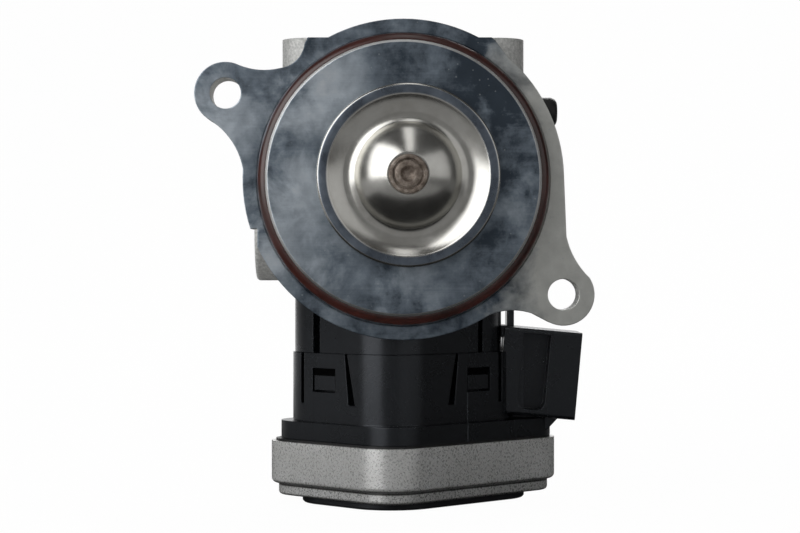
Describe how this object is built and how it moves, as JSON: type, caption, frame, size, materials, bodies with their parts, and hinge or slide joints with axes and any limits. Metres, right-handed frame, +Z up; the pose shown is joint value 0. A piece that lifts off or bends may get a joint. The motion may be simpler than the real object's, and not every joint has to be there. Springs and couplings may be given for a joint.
{
  "type": "exhaust gas recirculation valve",
  "caption": "Electric EGR valve: cast flange with poppet valve and O-ring spigot, cam drive, black motor shell with side connector and cast gear case cover",
  "frame": {"origin": "on the axis of the round spigot, in the plane of the flange face that bolts to the intake", "axes": "-Y is the spigot axis and the way the valve opens, toward the intake; +Z is up, out of the gas inlet; +X is to the right seen from the spigot side, where the connector is"},
  "size_m": [0.0837, 0.094, 0.104],
  "materials": {
    "cast_aluminium": "sand-cast, machined on the flange, spigot and port faces",
    "cover_casting": "sand-cast, grit blasted",
    "seal_rubber": "red-brown fluorocarbon rubber",
    "black_rubber": "moulded black rubber",
    "polished_steel": "turned and polished stainless steel",
    "heat_tinted_steel": "ground valve steel, brown heat tint at the riveted end",
    "seat_steel": "turned steel ring",
    "machined_steel": "turned and ground steel",
    "spring_steel": "drawn spring wire",
    "bronze": "sintered bronze bush",
    "gear_nylon": "natural moulded gear plastic",
    "motor_steel": "zinc plated drawn can",
    "magnet": "sintered magnet",
    "armature": "stacked steel laminations",
    "black_plastic": "glass filled black nylon, moulded",
    "lid_plastic": "black moulded lid",
    "tinned_brass": "stamped tinned brass",
    "screw_steel": "zinc plated cap screws",
    "board": "glass fibre circuit board"
  },
  "bodies": {
    "housing": {"actuator_gasket": "black_rubber", "actuator_screws": "screw_steel", "actuator_shell": "black_plastic", "bearing_plate": "machined_steel", "bottom_lid": "lid_plastic", "connector_skirt": "black_plastic", "connector_terminals": "tinned_brass", "core_plug": "machined_steel", "gear_case_cover": "cover_casting", "gear_case_gasket": "black_rubber", "gear_case_screws": "screw_steel", "intermediate_gear_pin": "machined_steel", "lower_bearing": "bronze", "motor_can": "motor_steel", "motor_end_cap": "black_plastic", "motor_magnets": "magnet", "return_spring": "spring_steel", "sensor_board": "board", "side_cap": "black_rubber", "side_nipple": "machined_steel", "spigot_o_ring": "seal_rubber", "stem_guide": "bronze", "stem_scraper_ring": "seat_steel", "stem_seal": "black_rubber", "upper_bearing": "bronze", "valve_housing": "cast_aluminium", "valve_seat_ring": "seat_steel"},
    "poppet": {"valve_head": "polished_steel", "valve_stem": "heat_tinted_steel", "spring_retainer": "machined_steel", "follower_carriage": "machined_steel", "carriage_washer": "machined_steel", "retaining_clip": "machined_steel", "roller_pin": "machined_steel"},
    "roller": {"follower_roller": "machined_steel"},
    "cam": {"cam_disc": "machined_steel", "cam_shaft": "machined_steel", "sector_gear": "gear_nylon", "sensor_magnet": "magnet"},
    "idler": {"intermediate_gear": "gear_nylon"},
    "rotor": {"motor_shaft": "machined_steel", "motor_pinion": "bronze", "motor_armature": "armature"}
  },
  "joints": [
    {"name": "cam_turn", "type": "hinge", "parent": "housing", "child": "cam", "pos_m": [0.001, 0.052, -0.014], "axis": [0, 0, 1], "range_deg": [0, 75.01]},
    {"name": "valve_lift", "type": "slide", "parent": "housing", "child": "poppet", "axis": [0, -1, 0], "range_m": [0, 0.006], "stiffness_N_per_m": 2500, "springref_m": -0.004, "deforming": ["return_spring"]},
    {"name": "roller_spin", "type": "hinge", "parent": "poppet", "child": "roller", "pos_m": [0.001, 0.0445, -0.0135], "axis": [0, 0, 1], "continuous": true},
    {"name": "idler_turn", "type": "hinge", "parent": "housing", "child": "idler", "pos_m": [0.00642, 0.03483, -0.06], "axis": [0, 0, 1], "range_deg": [-300.01, 0]},
    {"name": "motor_turn", "type": "hinge", "parent": "housing", "child": "rotor", "pos_m": [-0.0039, 0.0287, -0.045], "axis": [0, 0, 1], "range_deg": [0, 728.58]}
  ],
  "couplings": [
    {"joint": "cam_turn", "follows": "valve_lift", "rad_per_m": 218.17},
    {"joint": "motor_turn", "follows": "valve_lift", "rad_per_m": 2119.3},
    {"joint": "idler_turn", "follows": "valve_lift", "rad_per_m": -872.66}
  ]
}
